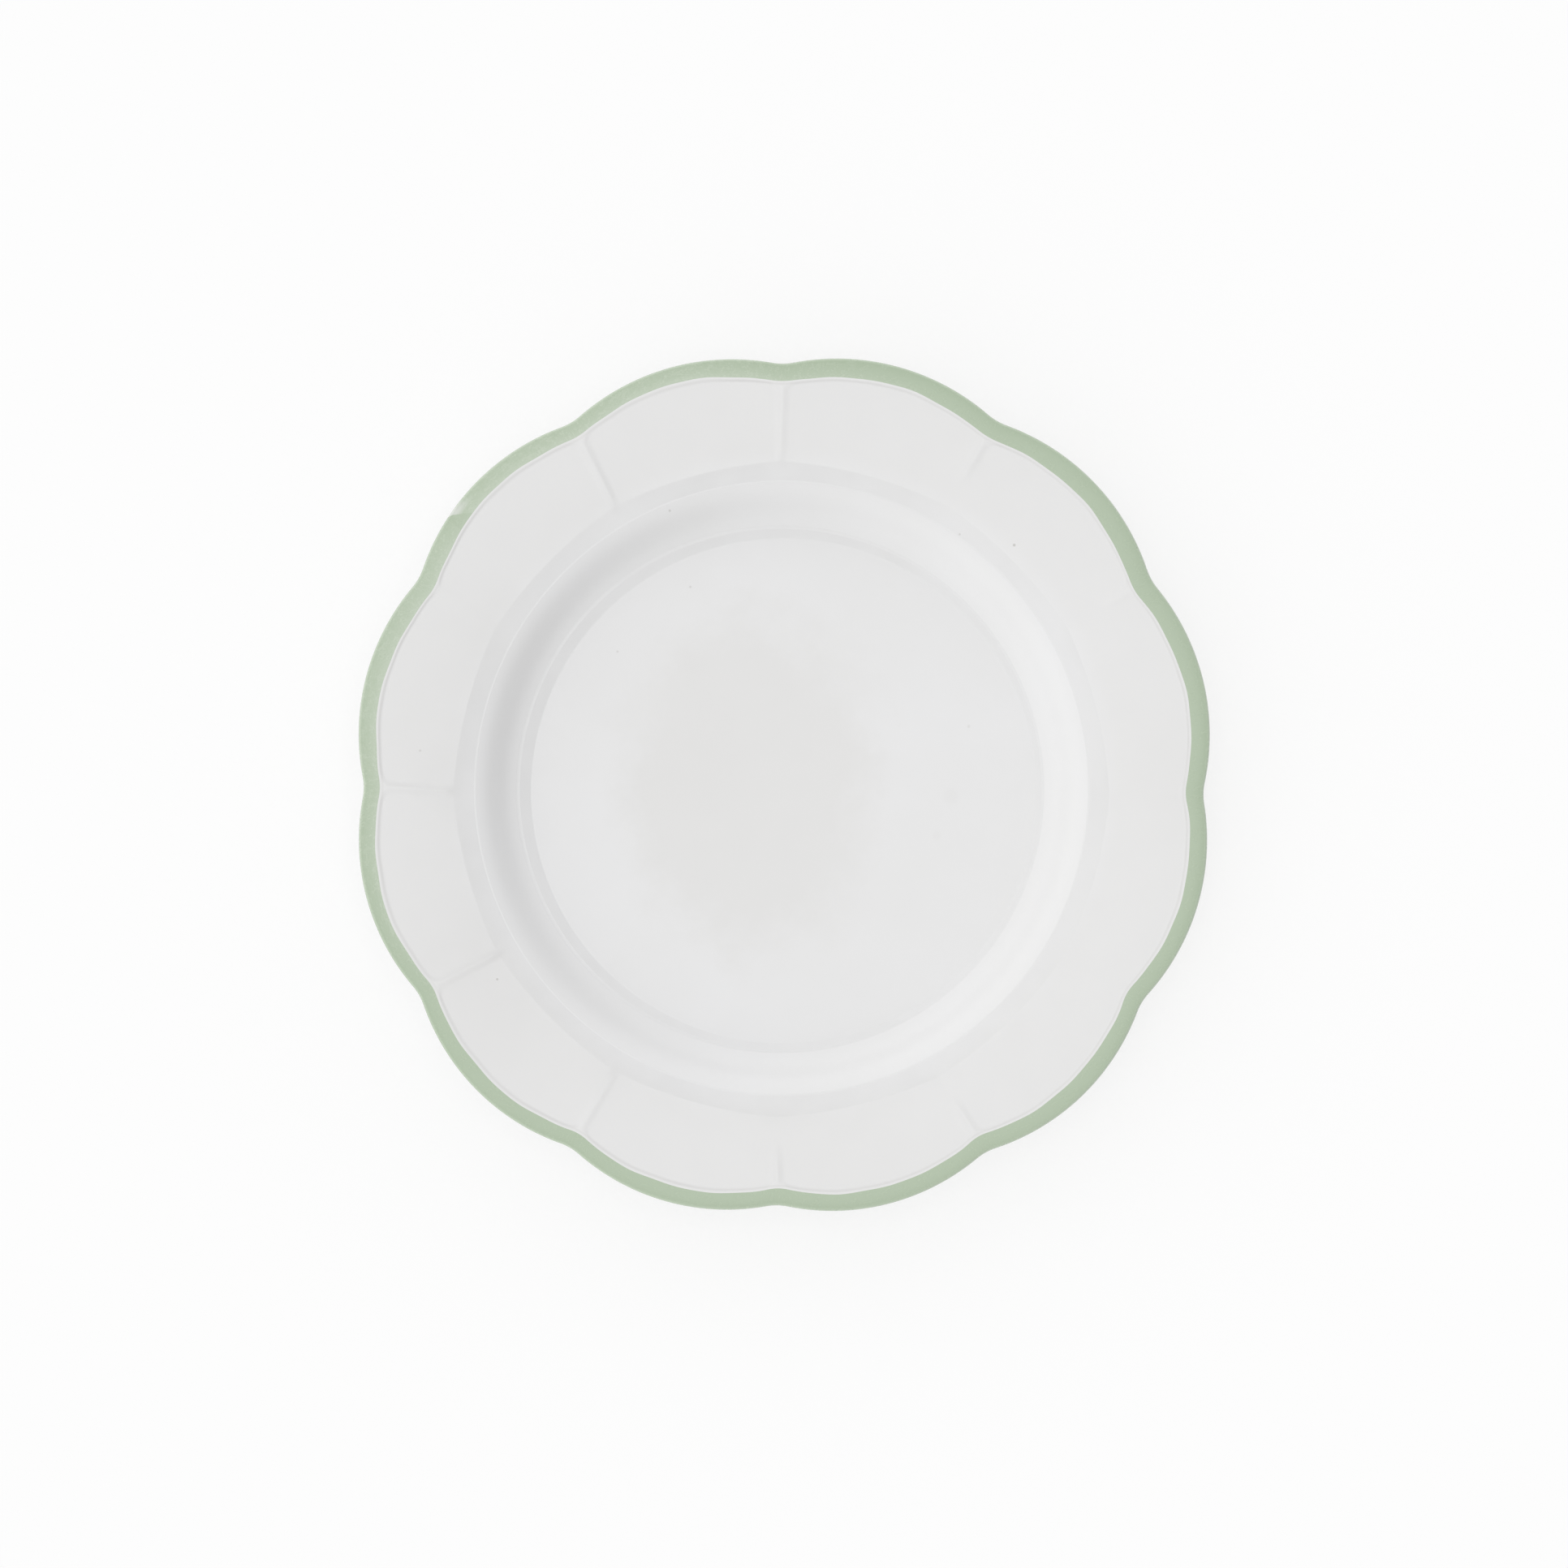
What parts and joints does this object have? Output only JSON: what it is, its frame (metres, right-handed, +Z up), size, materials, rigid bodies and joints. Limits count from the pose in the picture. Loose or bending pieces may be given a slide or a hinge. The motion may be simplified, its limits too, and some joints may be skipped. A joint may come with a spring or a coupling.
{
  "type": "bread plate",
  "caption": "Small round ceramic plate with a lobed petal rim, a flat well with a curved wall, a green painted edge and a foot ring to stand on.",
  "frame": {"origin": "centre of the plane that the foot ring stands on", "axes": "+Z up out of the well, along the plate's axis; +X and +Y each run out through a rib between petals"},
  "size_m": [0.1672, 0.1672, 0.0155],
  "materials": {
    "biscuit": "matte fired clay",
    "foot_clay": "matte fired clay, turned smooth",
    "white_glaze": "glossy opaque white glaze",
    "back_white_glaze": "glossy opaque white glaze",
    "base_white_glaze": "glossy opaque white glaze",
    "green_glaze": "glossy, brushed on by hand"
  },
  "bodies": {
    "root": {"biscuit_body": "biscuit", "foot_ring": "foot_clay", "face_glaze": "white_glaze", "back_glaze": "back_white_glaze", "base_glaze": "base_white_glaze", "edge_band": "green_glaze"}
  },
  "joints": []
}
